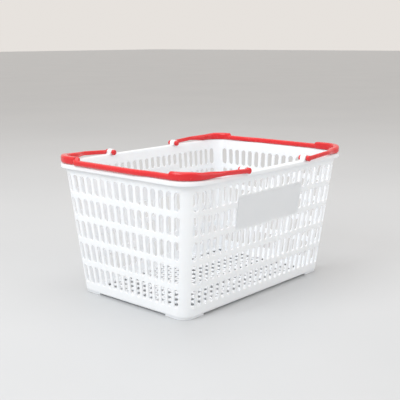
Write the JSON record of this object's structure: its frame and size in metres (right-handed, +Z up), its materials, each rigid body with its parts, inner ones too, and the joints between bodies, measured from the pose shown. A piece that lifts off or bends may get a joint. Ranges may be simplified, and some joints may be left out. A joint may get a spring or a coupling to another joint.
{
  "type": "shopping basket",
  "caption": "Open slotted hand basket with a flanged rim, label panels and two folding bail handles.",
  "frame": {"origin": "middle of the base, at the bottom of the corner feet", "axes": "+X along the basket, +Y across it, +Z up"},
  "size_m": [0.494, 0.3736, 0.2704],
  "materials": {
    "white_plastic": "satin, slightly translucent",
    "red_plastic": "satin gloss"
  },
  "bodies": {
    "basket": {"floor_grid": "white_plastic", "wall_front": "white_plastic", "wall_back": "white_plastic", "wall_left": "white_plastic", "wall_right": "white_plastic", "post_side_front_left": "white_plastic", "post_side_front_right": "white_plastic", "post_side_back_left": "white_plastic", "post_side_back_right": "white_plastic", "post_front_left": "white_plastic", "post_front_right": "white_plastic", "post_back_left": "white_plastic", "post_back_right": "white_plastic", "post_end_front_left": "white_plastic", "post_end_front_right": "white_plastic", "post_end_back_left": "white_plastic", "post_end_back_right": "white_plastic", "rim_front": "white_plastic", "rim_back": "white_plastic", "rim_left": "white_plastic", "rim_right": "white_plastic", "rim_corner_front_left": "white_plastic", "rim_corner_front_right": "white_plastic", "rim_corner_back_left": "white_plastic", "rim_corner_back_right": "white_plastic", "label_panel_front": "white_plastic", "label_panel_back": "white_plastic", "lug_front_left": "white_plastic", "lug_front_right": "white_plastic", "lug_back_left": "white_plastic", "lug_back_right": "white_plastic", "foot_front_left": "white_plastic", "foot_front_right": "white_plastic", "foot_back_left": "white_plastic", "foot_back_right": "white_plastic"},
    "handle_left": {"grip_left": "red_plastic", "bend_front_left": "red_plastic", "bend_back_left": "red_plastic", "arm_front_left": "red_plastic", "arm_back_left": "red_plastic", "pin_front_left": "red_plastic", "pin_back_left": "red_plastic"},
    "handle_right": {"grip_right": "red_plastic", "bend_front_right": "red_plastic", "bend_back_right": "red_plastic", "arm_front_right": "red_plastic", "arm_back_right": "red_plastic", "pin_front_right": "red_plastic", "pin_back_right": "red_plastic"}
  },
  "joints": [
    {"name": "handle_left_fold", "type": "hinge", "parent": "basket", "child": "handle_left", "pos_m": [-0.093, 0, 0.2582], "axis": [0, 1, 0], "range_deg": [0, 120]},
    {"name": "handle_right_fold", "type": "hinge", "parent": "basket", "child": "handle_right", "pos_m": [0.093, 0, 0.2582], "axis": [0, -1, 0], "range_deg": [0, 120]}
  ]
}
